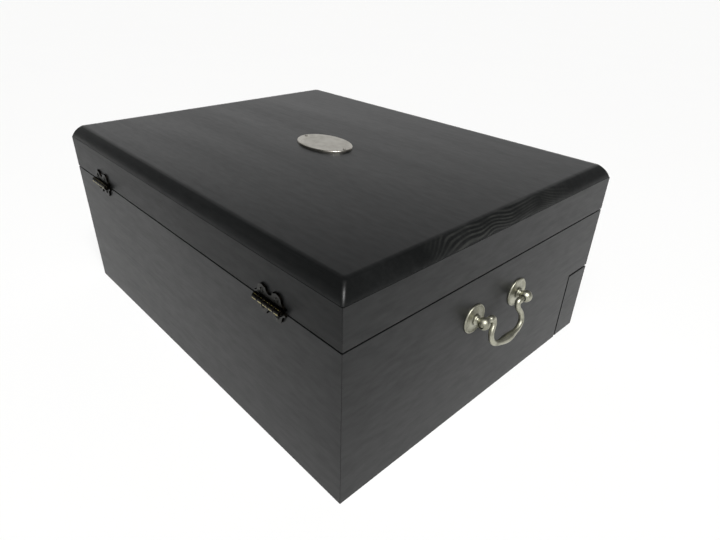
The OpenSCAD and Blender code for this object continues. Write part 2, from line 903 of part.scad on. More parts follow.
module drawer_left_side() { color(INNER_WOOD) drawer_side(-1); }

module drawer_right_side() { color(INNER_WOOD) drawer_side(1); }

module drawer_back() {
    reach_x = drawer_x - drawer_side_t;
    color(INNER_WOOD)
        difference() {
            box(
                [-reach_x, drawer_back_y - drawer_side_t, drawer_z],
                [reach_x, drawer_back_y, drawer_back_top]);
            drawer_bottom_blank();
        }
}

module drawer_bottom() { color(INNER_WOOD) drawer_bottom_blank(); }

// The inside of the drawer, from one height to another
module drawer_inside(low, high) {
    reach_x = drawer_x - drawer_side_t - touch_gap;
    box(
        [-reach_x, inner_front_y + touch_gap, low],
        [reach_x, drawer_back_y - drawer_side_t - touch_gap, high]);
}

drawer_lining_z = drawer_bottom_z + drawer_bottom_t;
drawer_lining_top = drawer_lining_z + drawer_lining_t;

module drawer_lining() { color(CLOTH) drawer_inside(drawer_lining_z, drawer_lining_top); }

module drawer_divider() {
    color(CLOTH)
        intersection() {
            drawer_inside(drawer_lining_top, drawer_side_top - divider_drop);
            translate([-divider_t / 2, -chest_d, 0]) cube([divider_t, 2 * chest_d, body_h]);
        }
}

module drawer_pull_rosettes() {
    color(NICKEL)
        for (side = [-1, 1])
            at_pull(side) rosettes();
}

module drawer_pull_posts() {
    color(NICKEL)
        for (side = [-1, 1])
            at_pull(side) posts();
}

module drawer_pull_screws() {
    color(NICKEL)
        for (side = [-1, 1])
            at_pull(side) post_screws(wall_t + drawer_side_t);
}

module left_pull_bail() { color(NICKEL) at_pull(-1) bail(0); }

module right_pull_bail() { color(NICKEL) at_pull(1) bail(0); }

back_panel();
left_side_panel();
right_side_panel();
front_panel();
compartment_floor();
base_panel();
base_felt();
drawer_runners();
drawer_stop_rail();
drawer_buffers();
floor_lining();
wall_linings();
front_rack();
rear_rack();
lid_bumpers();
left_hinge_body_leaf();
right_hinge_body_leaf();
left_hinge_pin();
right_hinge_pin();
hinge_body_screws();
left_handle_rosettes();
left_handle_posts();
left_handle_screws();
right_handle_rosettes();
right_handle_posts();
right_handle_screws();
stay_studs();
lid_top_board();
lid_front_rail();
lid_back_rail();
lid_left_rail();
lid_right_rail();
lid_panel();
nameplate();
nameplate_pins();
left_hinge_lid_leaf();
right_hinge_lid_leaf();
hinge_lid_screws();
stay_pivots();
left_stay_arm();
right_stay_arm();
left_bail();
right_bail();
drawer_front();
drawer_left_return();
drawer_right_return();
drawer_inner_front();
drawer_left_side();
drawer_right_side();
drawer_back();
drawer_bottom();
drawer_lining();
drawer_divider();
drawer_pull_rosettes();
drawer_pull_posts();
drawer_pull_screws();
left_pull_bail();
right_pull_bail();
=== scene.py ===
"""Looks of a black-stained silverware chest: its wood, cloth and metal, the studio and the camera."""
import json
import math

import bmesh
import bpy
from bpy.props import FloatProperty, FloatVectorProperty, PointerProperty
from bpy.types import Operator, Panel, PropertyGroup
from mathutils import Matrix, Vector


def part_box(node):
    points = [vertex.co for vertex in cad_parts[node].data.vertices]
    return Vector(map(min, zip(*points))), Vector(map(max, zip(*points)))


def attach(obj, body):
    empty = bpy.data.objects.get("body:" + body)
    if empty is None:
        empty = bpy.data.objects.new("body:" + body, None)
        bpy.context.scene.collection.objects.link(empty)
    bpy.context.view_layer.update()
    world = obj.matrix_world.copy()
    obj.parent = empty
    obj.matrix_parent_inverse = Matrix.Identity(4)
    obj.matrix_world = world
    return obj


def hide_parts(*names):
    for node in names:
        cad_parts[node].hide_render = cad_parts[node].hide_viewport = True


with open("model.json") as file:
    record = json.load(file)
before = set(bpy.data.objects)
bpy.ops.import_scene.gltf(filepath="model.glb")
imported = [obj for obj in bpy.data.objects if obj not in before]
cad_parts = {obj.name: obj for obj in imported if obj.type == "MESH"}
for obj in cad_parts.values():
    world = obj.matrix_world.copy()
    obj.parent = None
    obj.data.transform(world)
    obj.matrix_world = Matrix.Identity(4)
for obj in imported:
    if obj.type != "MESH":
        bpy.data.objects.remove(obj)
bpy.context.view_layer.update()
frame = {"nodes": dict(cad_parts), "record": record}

bl_info = {
    "name": "Silverware Chest",
    "version": (1, 0, 0),
    "blender": (4, 5, 0),
    "location": "View3D > Sidebar > Chest",
    "description": "Dresses the solids of a silverware chest with wood, cloth and metal",
    "category": "Object",
}

RECORD = frame["record"]
BODY_OF = {name: body for body, names in RECORD["behaviour"]["bodies"].items() for name in names}

MM = 0.001
MERGE = 1e-6
FLAT = math.radians(1)
SHARP = math.radians(40)
QUARTER = math.pi / 2

# Half the chest's width and depth, and the lid's top board
HALF_W, HALF_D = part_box("back_panel")[1].xy
TOP_LOW, TOP_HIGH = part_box("lid_top_board")

# Directions of the backdrop and of the window behind the camera, and the camera's right, up and back
BACKDROP = (0.715, -0.7, 0.0)
WINDOW = (-0.66, 0.62, 0.42)
CAMERA_AXES = (
    Vector((-0.685946, -0.727100, 0.028352)),
    Vector((0.379294, -0.324031, 0.866684)),
    Vector((-0.620979, 0.605251, 0.498052)))


def linear(code):
    """Turns an sRGB hex colour into linear red, green and blue."""
    parts = [int(code[i:i + 2], 16) / 255 for i in (1, 3, 5)]
    return [p / 12.92 if p <= 0.04045 else ((p + 0.055) / 1.055) ** 2.4 for p in parts]


def length(name, millimetres, about):
    """A size in the sidebar, given in millimetres and kept in metres."""
    return FloatProperty(
        name=name, description=about, default=millimetres * MM, min=0.0, precision=5, unit="LENGTH")


def colour(name, code, about):
    """A colour in the sidebar, given as sRGB hex."""
    return FloatVectorProperty(
        name=name, description=about, default=linear(code), min=0.0, max=1.0, size=3, subtype="COLOR")


class ChestSizes(PropertyGroup):
    """Sizes of the chest's own details, which the solids leave plain."""
    board_ease: length("Board edges", 0.25, "Rounding of the edges of the boards")
    edge_drop: length("Lid edge centre", 8.0, "Depth of the rounded lid edge's centre below the top board")
    edge_arris: FloatProperty(
        name="Lid edge arris", description="Angle at which the rounded lid edge meets the flat top",
        default=math.radians(34), min=0.0, subtype="ANGLE")
    edge_soft: length("Lid edge softness", 4.0, "Width over which the rounded edge runs into the flat top")
    corner: length("Lid corners", 2.6, "Rounding of the lid's corners seen from above")
    base_line: length("Lid shadow line", 0.3, "Small chamfer under the lid's top board")
    cloth_ease: length("Cloth edges", 0.7, "Rounding of cloth-covered edges")
    rack_ease: length("Rack edges", 2.0, "Rounding of the flatware racks and the divider")
    plate_round: length("Nameplate rim", 0.8, "Rounding of the nameplate's rim")
    leaf_ease: length("Hinge edges", 0.4, "Rounding of the hinge leaves")
    bore: length("Ball bore", 2.9, "Radius of the hole in a handle's ball")
    bead: length("Bail bead", 3.1, "Radius of the bead at each end of a bail")


class ChestFinishes(PropertyGroup):
    """Colours of the chest's finishes."""
    stain: colour("Black stain", "#0f1010", "Stained wood")
    stain_light: colour("Worn stain", "#161717", "Stained wood where the grain takes less colour")
    ring: colour("End grain", "#2e2f2d", "Growth rings on the lid's end")
    inner: colour("Inner wood", "#3a281c", "Stained wood of the drawer and the floors")
    inner_light: colour("Inner grain", "#5a4331", "Lighter grain of the inner wood")
    nickel: colour("Nickel", "#cac6bc", "Satin nickel plate")
    nickel_dull: colour("Dull nickel", "#bcb8ad", "Nickel where it has dulled")
    handle: colour("Handle nickel", "#b0af9f", "Older nickel of the handles")
    handle_dull: colour("Dull handle nickel", "#7c7b6d", "Handle nickel where it has dulled")
    # Painted shade and old polish: darkens the handles' hollows, bores, post necks and feet, and the feet of
    # the nameplate pins
    shade_and_grime: colour("Grime", "#1b1a16", "Old polish left in the hollows of the handles")
    bronze: colour("Bronze", "#13110e", "Dark patina of the hinges")
    # Paler colour painted on the hinges' flat faces and screws as a painted sheen; the edges and barrel keep
    # the dark bronze as painted shade
    bronze_lit_face: colour("Bronze faces", "#2d2d2b", "Patina on the flat faces of the hinges")
    brass: colour("Rubbed brass", "#d6c97e", "Brass where the patina is rubbed off")
    flannel: colour("Flannel", "#43362d", "Brushed cloth of the lining")
    flannel_nap: colour("Flannel nap", "#5a4a3e", "Brushed cloth where its nap lies the other way")
    felt: colour("Felt", "#23241f", "Pressed felt under the chest")
    rubber: colour("Rubber", "#1c1c1b", "Bumpers and buffers")


class StudioSettings(PropertyGroup):
    """Light, floor and camera of the studio."""
    floor: colour("Floor", "#fafaf9", "Pale paper floor")
    key: FloatProperty(
        name="Key light", description="Strength of the soft key light", default=3.25, min=0.0)
    fill: FloatProperty(
        name="Softbox", description="Power of the softbox over the camera", default=2.0, min=0.0)
    lens: FloatProperty(
        name="Lens", description="Focal length", default=26.6467, min=1.0, subtype="DISTANCE_CAMERA")
    camera_place: FloatVectorProperty(
        name="Camera", description="Place of the camera", default=(-0.42222, 0.35368, 0.35522),
        subtype="TRANSLATION")


# Bmesh helpers

def moved(made, kind):
    """The vertices, edges or faces that an operator made."""
    return [item for item in made["geom"] if isinstance(item, kind)]


def ease(bm, edges, width, segments=2):
    """Rounds edges by a width."""
    bmesh.ops.bevel(
        bm, geom=edges, offset=width, offset_type="OFFSET", segments=segments, profile=0.5,
        affect="EDGES", material=-1, clamp_overlap=True)


def eased_copy(name, width, segments=2, shortest=3 * MM):
    """A copy of a solid, merged into whole faces, with its sharp edges rounded."""
    bm = bmesh.new()
    bm.from_mesh(frame["nodes"][name].data)
    bmesh.ops.remove_doubles(bm, verts=bm.verts, dist=MERGE)
    bmesh.ops.dissolve_limit(bm, angle_limit=FLAT, verts=bm.verts, edges=bm.edges)
    sharp = [
        edge for edge in bm.edges
        if len(edge.link_faces) == 2 and edge.calc_face_angle() > SHARP and edge.calc_length() > shortest]
    ease(bm, sharp, width, segments)
    return bm


def turned(profile, steps=40):
    """Spins a profile of (radius, height) points about the z axis, as on a lathe."""
    bm = bmesh.new()
    verts = [bm.verts.new((radius, 0, height)) for radius, height in profile]
    edges = [bm.edges.new(pair) for pair in zip(verts, verts[1:])]
    bmesh.ops.spin(
        bm, geom=verts + edges, cent=(0, 0, 0), axis=(0, 0, 1), angle=2 * math.pi, steps=steps,
        use_merge=True)
    bmesh.ops.remove_doubles(bm, verts=bm.verts, dist=MERGE)
    bmesh.ops.recalc_face_normals(bm, faces=bm.faces)
    return bm


def arc(centre, radius, start, end, steps):
    """Points on an arc from one angle to another, in degrees."""
    angles = [math.radians(start + (end - start) * i / steps) for i in range(steps + 1)]
    return [(centre[0] + radius * math.cos(a), centre[1] + radius * math.sin(a)) for a in angles]


def drawn_out(bm, faces, offset):
    """Extrudes faces by an offset, and takes away those that this leaves inside."""
    inside = any(len(edge.link_faces) > 1 for face in faces for edge in face.edges)
    made = bmesh.ops.extrude_face_region(bm, geom=faces)
    if inside:
        bmesh.ops.delete(bm, geom=faces, context="FACES")
    verts = moved(made, bmesh.types.BMVert)
    bmesh.ops.translate(bm, vec=offset, verts=verts)
    return verts, moved(made, bmesh.types.BMFace)


def raised(bm, size, rings):
    """Carries a flat face up through rings, each an inset from the outline and a height."""
    faces = bm.faces[:]
    inset, level = rings[0]
    for next_inset, height in rings[1:]:
        verts, faces = drawn_out(bm, faces, (0, 0, height - level))
        across, along = [(side - 2 * next_inset) / (side - 2 * inset) for side in size]
        bmesh.ops.scale(bm, vec=(across, along, 1.0), verts=verts)
        inset, level = next_inset, height
    bmesh.ops.recalc_face_normals(bm, faces=bm.faces)
    return bm


def rounded_sheet(size, level, corner, segments=5):
    """A flat rectangle about the z axis with rounded corners."""
    bm = bmesh.new()
    across, along = size
    bmesh.ops.create_grid(
        bm, x_segments=1, y_segments=1, size=0.5,
        matrix=Matrix.LocRotScale((0, 0, level), None, (across, along, 1)))
    bmesh.ops.bevel(
        bm, geom=bm.verts[:], offset=corner, offset_type="OFFSET", segments=segments, profile=0.5,
        affect="VERTICES", material=-1)
    return bm


def plate_of(outline, thickness, width):
    """A flat plate from an outline of (x, y) points, its upper rim rounded."""
    bm = bmesh.new()
    face = bm.faces.new([bm.verts.new((x, y, 0)) for x, y in outline])
    drawn_out(bm, [face], (0, 0, thickness))
    bmesh.ops.recalc_face_normals(bm, faces=bm.faces)
    rim = [edge for edge in bm.edges if all(vert.co.z > thickness / 2 for vert in edge.verts)]
    ease(bm, rim, width)
    return bm


def mark_shade_and_grime(bm, amount):
    """Marks how dark each vertex is painted, as painted shade and old polish, from its distance to the z axis
    and its height.
    """
    layer = bm.verts.layers.float.new("shade_and_grime")
    for vert in bm.verts:
        vert[layer] = amount(math.hypot(vert.co.x, vert.co.y), vert.co.z)
    return bm


def add_part(bm, part, matrix):
    """Adds a part to a bmesh at a place."""
    bmesh.ops.transform(part, matrix=matrix, verts=part.verts)
    mesh = bpy.data.meshes.new("part")
    part.to_mesh(mesh)
    part.free()
    bm.from_mesh(mesh)
    bpy.data.meshes.remove(mesh)


def swept(path):
    """A round bar with closed ends, along points of (place, direction, radius) in a level plane."""
    bm = bmesh.new()
    rings = []
    for place, direction, radius in path:
        across = Vector((0, 0, 1)).cross(direction).normalized()
        turn = Matrix((across, direction.cross(across), direction)).transposed().to_4x4()
        made = bmesh.ops.create_circle(
            bm, segments=20, radius=radius, matrix=Matrix.Translation(place) @ turn)
        rings.append({edge for vert in made["verts"] for edge in vert.link_edges})
    for one, other in zip(rings, rings[1:]):
        bmesh.ops.bridge_loops(bm, edges=list(one | other))
    for end in (rings[0], rings[-1]):
        bmesh.ops.edgeloop_fill(bm, edges=list(end))
    bmesh.ops.recalc_face_normals(bm, faces=bm.faces)
    return bm


def piece(name, bm, look, *nodes, smooth=35.0):
    """Makes a bmesh a piece that rides with its solids' body and stands for them."""
    mesh = bpy.data.meshes.new(name)
    bm.to_mesh(mesh)
    bm.free()
    if smooth:
        mesh.polygons.foreach_set("use_smooth", [True] * len(mesh.polygons))
        mesh.set_sharp_from_angle(angle=math.radians(smooth))
    mesh.materials.append(look)
    made = bpy.data.objects.new(name, mesh)
    bpy.context.scene.collection.objects.link(made)
    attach(made, BODY_OF[nodes[0]])
    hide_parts(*nodes)
    return made


def boards(width, *rows):
    """Makes boards with eased edges, from rows of a piece's name, its solid and its finish."""
    for name, solid, look in rows:
        piece(name, eased_copy(solid, width), finish(look), solid, smooth=None)


def dress(look, *nodes):
    """Gives solids that keep their shape a finish."""
    for name in nodes:
        solid = frame["nodes"][name]
        solid.data.materials.clear()
        solid.data.materials.append(look)


# Finishes

def node(tree, kind, links=None, **settings):
    """Adds a node with its settings, and gives each input a value, an output or a node's first output."""
    made = tree.nodes.new("ShaderNode" + kind)
    for name, value in settings.items():
        setattr(made, name, value)
    for socket, source in (links or {}).items():
        if isinstance(source, bpy.types.Node):
            source = source.outputs[0]
        if isinstance(source, bpy.types.NodeSocket):
            tree.links.new(source, made.inputs[socket])
        else:
            made.inputs[socket].default_value = source
    return made


def blank(name):
    """A new material, its empty node tree and the coordinates of the piece that wears it."""
    made = bpy.data.materials.new(name)
    made.use_nodes = True
    tree = made.node_tree
    tree.nodes.clear()
    return made, tree, node(tree, "TexCoord").outputs["Object"]


def rgba(value):
    """A colour from the sidebar with full opacity."""
    return (value[0], value[1], value[2], 1.0)


def figured(tree, coords, turn, rows):
    """Uneven patterns, from rows of a size in mm along x, y and z, a detail, a roughness and a distortion."""
    found = []
    for size, detail, rough, twist in rows:
        place = node(
            tree, "Mapping", {"Vector": coords, "Rotation": (0, 0, turn), "Scale": [MM * s for s in size]},
            vector_type="TEXTURE")
        found.append(node(
            tree, "TexNoise",
            {"Vector": place, "Scale": 1.0, "Detail": detail, "Roughness": rough, "Distortion": twist}))
    return found


def wood(tree, coords, dark, light, turn, gloss, coat=1.32, figure=None):
    """Stained hardwood under thin satin lacquer: long fine streaks, slow changes of tone, a hazy gloss.

    Streaks 1.4 mm wide stand for pores about 0.2 mm wide, which are too fine to show.
    """
    streak, tone, haze = figured(tree, coords, turn, (
        ((90, 1.4, 1.4), 3.0, 0.6, 0.0), ((420, 38, 38), 2.0, 0.5, 0.4), ((16, 5, 5), 3.0, 0.5, 0.0)))
    grain = node(tree, "Math", {0: streak, 1: tone}, operation="MULTIPLY")
    share = node(tree, "MapRange", {"Value": grain, "From Min": 0.12, "From Max": 0.42})
    tint = node(tree, "Mix", {"Factor": share, 6: rgba(dark), 7: rgba(light)}, data_type="RGBA")
    paint, height = tint.outputs[2], streak
    if figure:
        paint, height = growth_rings(tree, coords, paint, height, figure)
    matt = node(
        tree, "MapRange",
        {"Value": grain, "From Min": 0.1, "From Max": 0.45, "To Min": gloss - 0.03, "To Max": gloss + 0.05})
    polish = node(
        tree, "MapRange", {"Value": haze, "From Min": 0.3, "From Max": 0.7, "To Min": 0.42, "To Max": 0.58})
    bump = node(tree, "Bump", {"Height": height, "Strength": 0.12, "Distance": 0.06 * MM})
    return node(
        tree, "BsdfPrincipled",
        {"Base Color": paint, "Roughness": matt, "IOR": coat, "Specular IOR Level": polish, "Normal": bump})


def growth_rings(tree, coords, paint, height, figure):
    """Growth layers, bowed up and uneven, which show where the lid's rounded ends cut across them."""
    light, inner, outer = figure
    bow, sway, spacing = 1.5, 28 * MM, 2.3 * MM
    full, none = 45 * MM, 110 * MM
    waver, patches = figured(tree, coords, 0.0, (
        ((60, 55, 30), 0.6, 0.4, 0.0), ((20, 20, 9), 2.0, 0.5, 0.0)))
    place = node(tree, "SeparateXYZ", {"Vector": coords})
    aside = node(tree, "Math", {0: place.outputs["Y"], 1: 2.0}, operation="POWER")
    bowed = node(tree, "Math", {0: aside, 1: bow, 2: place.outputs["Z"]}, operation="MULTIPLY_ADD")
    layer = node(tree, "Math", {0: waver, 1: sway, 2: bowed}, operation="MULTIPLY_ADD")
    phase = node(tree, "Math", {0: layer, 1: 2 * math.pi / spacing}, operation="MULTIPLY")
    wave = node(tree, "Math", {0: phase}, operation="SINE")
    line = node(
        tree, "MapRange", {"Value": wave, "From Min": -0.5, "From Max": 1.0},
        interpolation_type="SMOOTHSTEP")
    reach = node(tree, "Math", {0: place.outputs["X"]}, operation="ABSOLUTE")
    end = node(
        tree, "MapRange", {"Value": reach, "From Min": inner, "From Max": outer},
        interpolation_type="SMOOTHSTEP")
    middle = node(
        tree, "MapRange",
        {"Value": aside, "From Min": full ** 2, "From Max": none ** 2, "To Min": 1.0, "To Max": 0.0},
        interpolation_type="SMOOTHSTEP")
    clear = node(
        tree, "MapRange",
        {"Value": patches, "From Min": 0.35, "From Max": 0.65, "To Min": 0.25, "To Max": 1.0})
    share = end
    for other in (middle, clear, line):
        share = node(tree, "Math", {0: share, 1: other}, operation="MULTIPLY")
    mixed = node(tree, "Mix", {"Factor": share, 6: paint, 7: rgba(light)}, data_type="RGBA")
    lifted = node(tree, "Math", {0: height, 1: share}, operation="ADD")
    return mixed.outputs[2], lifted


def nickel(tree, coords, bright, dull, shade_and_grime, gloss):
    """Nickel plate, brushed and then handled: soft highlights, a dull film in patches, painted shade and old
    polish in hollows.

    The brushing, about 0.1 mm, is drawn 0.5 mm wide so that it shows.
    """
    brush = node(tree, "TexNoise", {"Vector": coords, "Scale": 1 / (0.5 * MM), "Detail": 2.0})
    film = node(
        tree, "TexNoise", {"Vector": coords, "Scale": 1 / (9 * MM), "Detail": 4.0, "Roughness": 0.6})
    share = node(tree, "MapRange", {"Value": film, "From Min": 0.45, "From Max": 0.75})
    tint = node(tree, "Mix", {"Factor": share, 6: rgba(bright), 7: rgba(dull)}, data_type="RGBA")
    # Painted shade and old polish from the vertex marks, dark in the hollows where shade falls
    hollow = node(tree, "Attribute", attribute_name="shade_and_grime").outputs["Fac"]
    darkened = node(tree, "Mix", {"Factor": hollow, 6: tint.outputs[2], 7: rgba(shade_and_grime)}, data_type="RGBA")
    matt = node(
        tree, "MapRange",
        {"Value": film, "From Min": 0.3, "From Max": 0.7, "To Min": gloss, "To Max": gloss + 0.12})
    bump = node(tree, "Bump", {"Height": brush, "Strength": 0.08, "Distance": 0.03 * MM})
    return node(
        tree, "BsdfPrincipled",
        {"Base Color": darkened.outputs[2], "Metallic": 1.0, "Roughness": matt, "Normal": bump})


def patinated_bronze(tree, coords, dark, face, brass):
    """Bronze with a dark patina, rubbed through to brass along the barrel; its flat faces are painted paler
    as a painted sheen, and its edges and barrel stay dark as painted shade.
    """
    mottle = node(
        tree, "TexNoise", {"Vector": coords, "Scale": 1 / (2.2 * MM), "Detail": 4.0, "Roughness": 0.65})
    # The flat mark paints the flat faces paler as a painted sheen and leaves the edges and barrel dark as
    # painted shade
    flat = node(tree, "Attribute", attribute_name="flat").outputs["Fac"]
    patina = node(tree, "Mix", {"Factor": flat, 6: rgba(dark), 7: rgba(face)}, data_type="RGBA")
    worn = node(tree, "Attribute", attribute_name="wear").outputs["Fac"]
    patchy = node(tree, "Math", {0: worn, 1: mottle}, operation="MULTIPLY")
    share = node(tree, "MapRange", {"Value": patchy, "From Min": 0.27, "From Max": 0.42})
    tint = node(tree, "Mix", {"Factor": share, 6: patina.outputs[2], 7: rgba(brass)}, data_type="RGBA")
    matt = node(
        tree, "MapRange",
        {"Value": mottle, "From Min": 0.3, "From Max": 0.7, "To Min": 0.34, "To Max": 0.5})
    bump = node(tree, "Bump", {"Height": mottle, "Strength": 0.15, "Distance": 0.05 * MM})
    return node(
        tree, "BsdfPrincipled",
        {"Base Color": tint.outputs[2], "Metallic": 1.0, "Roughness": matt, "Normal": bump})


def cloth(tree, coords, dark, light, thread, sheen):
    """Brushed cloth: a short nap that lies in slow patches, fibres that scatter light, a soft edge glow.

    The fibres, some hundredths of a millimetre, are drawn as tufts of about a millimetre so that they show.
    """
    nap = node(
        tree, "TexNoise", {"Vector": coords, "Scale": 1 / (26 * MM), "Detail": 3.0, "Distortion": 0.8})
    fibre = node(
        tree, "TexNoise", {"Vector": coords, "Scale": 1 / (thread * MM), "Detail": 3.0, "Roughness": 0.7})
    blend = node(tree, "Math", {0: nap, 1: fibre}, operation="MULTIPLY")
    share = node(tree, "MapRange", {"Value": blend, "From Min": 0.1, "From Max": 0.42})
    tint = node(tree, "Mix", {"Factor": share, 6: rgba(dark), 7: rgba(light)}, data_type="RGBA")
    bump = node(tree, "Bump", {"Height": fibre, "Strength": 0.5, "Distance": 0.25 * MM})
    return node(
        tree, "BsdfPrincipled",
        {"Base Color": tint.outputs[2], "Roughness": 0.92, "Sheen Weight": sheen, "Sheen Roughness": 0.45,
         "Specular IOR Level": 0.2, "Normal": bump})


def soft_rubber(tree, coords, black):
    """Moulded rubber, matt with a fine bloom."""
    bloom = node(tree, "TexNoise", {"Vector": coords, "Scale": 1 / (1.2 * MM), "Detail": 3.0})
    matt = node(tree, "MapRange", {"Value": bloom, "To Min": 0.5, "To Max": 0.75})
    bump = node(tree, "Bump", {"Height": bloom, "Strength": 0.1, "Distance": 0.1 * MM})
    return node(tree, "BsdfPrincipled", {"Base Color": rgba(black), "Roughness": matt, "Normal": bump})


def finish(name):
    """The finish of that name, made at its first use."""
    if name in bpy.data.materials:
        return bpy.data.materials[name]
    colours = bpy.context.scene.chest_finishes
    stain = (colours.stain, colours.stain_light)
    inner = (colours.inner, colours.inner_light)
    bright = (colours.nickel, colours.nickel_dull, colours.shade_and_grime)
    aged = (colours.handle, colours.handle_dull, colours.shade_and_grime)
    figure = (colours.ring, HALF_W - 13 * MM, HALF_W - 7 * MM)
    looks = {
        # Black stain under satin lacquer; the back and its rail are shaded copies with a lower IOR, so that
        # they mirror less, painted shade on that side
        "ebonised_board": (wood, *stain, 0.0, 0.36),
        "ebonised_end": (wood, *stain, QUARTER, 0.36),
        "ebonised_back_shaded": (wood, *stain, 0.0, 0.38, 1.275),
        "ebonised_rail_shaded": (wood, *stain, 0.0, 0.38, 1.2),
        "ebonised_lid": (wood, *stain, 0.0, 0.36, 1.34, figure),
        # Brown stain left matt, with its grain plain to see
        "inner_board": (wood, *inner, 0.0, 0.45),
        "inner_end": (wood, *inner, QUARTER, 0.45),
        # Nickel kept bright on the nameplate and the stays, and worn by hands on the handles
        "brushed_nickel": (nickel, *bright, 0.26),
        "aged_nickel": (nickel, *aged, 0.38),
        "patinated_bronze": (patinated_bronze, colours.bronze, colours.bronze_lit_face, colours.brass),
        # Warm napped cloth inside, and dense dull felt underneath
        "brushed_flannel": (cloth, colours.flannel, colours.flannel_nap, 0.8, 0.35),
        "pressed_felt": (cloth, colours.felt, colours.flannel_nap, 1.1, 0.15),
        "soft_rubber": (soft_rubber, colours.rubber),
    }
    make, *values = looks[name]
    made, tree, coords = blank(name)
    node(tree, "OutputMaterial", {"Surface": make(tree, coords, *values)})
    return made


# Pieces

class CHEST_OT_studio(Operator):
    """Sets the floor, the light and the camera"""
    bl_idname = "chest.studio"
    bl_label = "Studio"

    floor_reach = 40.0
    floor_glow = 0.45
    paper_shade = 0.985

    def execute(self, context):
        scene = context.scene
        settings = scene.chest_studio
        scene.view_settings.view_transform = "Standard"
        self.floor(scene, settings)
        self.world(scene)
        self.lamps(scene, settings)
        self.camera(scene, settings)
        return {"FINISHED"}

    def floor(self, scene, settings):
        """A wide pale paper floor, faintly uneven, which looks white and keeps the chest's shadow."""
        bm = bmesh.new()
        bmesh.ops.create_grid(bm, x_segments=1, y_segments=1, size=self.floor_reach)
        mesh = bpy.data.meshes.new("floor")
        bm.to_mesh(mesh)
        bm.free()
        made, tree, coords = blank("paper_floor")
        mottle = node(tree, "TexNoise", {"Vector": coords, "Scale": 1 / (300 * MM), "Detail": 2.0})
        pale = rgba(settings.floor)
        shade = [part * self.paper_shade for part in pale[:3]] + [1.0]
        tint = node(tree, "Mix", {"Factor": mottle, 6: pale, 7: shade}, data_type="RGBA")
        paper = node(
            tree, "BsdfPrincipled",
            {"Base Color": tint.outputs[2], "Roughness": 0.9, "Specular IOR Level": 0.0})
        white = node(tree, "Emission", {"Strength": 1.0})
        ray = node(tree, "LightPath")
        mirrored = node(
            tree, "Math",
            {0: ray.outputs["Is Glossy Ray"], 1: ray.outputs["Is Transmission Ray"]}, operation="MAXIMUM")
        seen = node(tree, "Math", {0: ray.outputs["Is Camera Ray"], 1: mirrored}, operation="MAXIMUM")
        part = node(tree, "Math", {0: seen, 1: self.floor_glow}, operation="MULTIPLY")
        lit = node(tree, "MixShader", {"Fac": part, 1: paper, 2: white})
        node(tree, "OutputMaterial", {"Surface": lit})
        mesh.materials.append(made)
        floor = bpy.data.objects.new("floor", mesh)
        scene.collection.objects.link(floor)

    def world(self, scene):
        """A dim room with a pale backdrop behind the chest, brightest low down, and a window opposite."""
        world = bpy.data.worlds.new("studio")
        world.use_nodes = True
        tree = world.node_tree
        tree.nodes.clear()
        coords = node(tree, "TexCoord").outputs["Generated"]
        height = node(tree, "SeparateXYZ", {"Vector": coords}).outputs["Z"]
        ramp = node(tree, "ValToRGB", {"Fac": height})
        stops = [(0.0, 1.0), (0.2, 1.0), (0.3, 0.98), (0.42, 0.66), (0.56, 0.13), (1.0, 0.04)]
        points = ramp.color_ramp.elements
        while len(points) < len(stops):
            points.new(0.5)
        for point, (position, level) in zip(points, stops):
            point.position = position
            point.color = (level, level, level, 1.0)
        lobes = []
        for towards, start, full, dim, bright in (
                (BACKDROP, 0.45, 0.85, 0.1, 1.0), (WINDOW, 0.5, 0.95, 0.0, 0.4)):
            near = node(tree, "VectorMath", {0: coords, 1: towards}, operation="DOT_PRODUCT")
            lobe = node(
                tree, "MapRange",
                {"Value": near.outputs["Value"], "From Min": start, "From Max": full, "To Min": dim,
                 "To Max": bright}, interpolation_type="SMOOTHSTEP")
            lobes.append(lobe)
        level = node(tree, "Math", {0: ramp, 1: lobes[0], 2: lobes[1]}, operation="MULTIPLY_ADD")
        back = node(tree, "Background", {"Strength": level})
        node(tree, "OutputWorld", {"Surface": back})
        scene.world = world

    def lamps(self, scene, settings):
        """A soft key light and a softbox, both over the camera."""
        key = bpy.data.lights.new("key", "SUN")
        key.energy = settings.key
        key.angle = math.radians(30)
        lamp = bpy.data.objects.new("key", key)
        shine = Vector((0.5, -0.3, -0.81))
        lamp.rotation_euler = shine.to_track_quat("-Z", "Y").to_euler()
        scene.collection.objects.link(lamp)
        box = bpy.data.lights.new("softbox", "AREA")
        box.energy = settings.fill
        box.size = 0.5
        lamp = bpy.data.objects.new("softbox", box)
        lamp.location = (-0.55, 0.52, 1.1)
        aim = Vector((-0.2, 0.15, 0.19)) - lamp.location
        lamp.rotation_euler = aim.to_track_quat("-Z", "Y").to_euler()
        lamp.visible_camera = False
        scene.collection.objects.link(lamp)

    def camera(self, scene, settings):
        """The camera stands behind the chest's left end and looks down at its near corner."""
        lens = bpy.data.cameras.new("camera")
        lens.sensor_fit = "HORIZONTAL"
        lens.sensor_width = 36.0
        lens.lens = settings.lens
        camera = bpy.data.objects.new("camera", lens)
        turn = Matrix(CAMERA_AXES).transposed().to_4x4()
        camera.matrix_world = Matrix.Translation(settings.camera_place) @ turn
        scene.collection.objects.link(camera)
        scene.camera = camera


class CHEST_OT_body(Operator):
    """Makes the boards of the body"""
    bl_idname = "chest.body"
    bl_label = "Body boards"

    def execute(self, context):
        boards(
            context.scene.chest_sizes.board_ease,
            ("back_board", "back_panel", "ebonised_back_shaded"),
            ("front_board", "front_panel", "ebonised_board"),
            ("left_side_board", "left_side_panel", "ebonised_end"),
            ("right_side_board", "right_side_panel", "ebonised_end"),
            ("floor_board", "compartment_floor", "inner_board"),
            ("bottom_board", "base_panel", "inner_board"),
            ("runner_strips", "drawer_runners", "inner_end"),
            ("stop_rail", "drawer_stop_rail", "inner_board"))
        return {"FINISHED"}


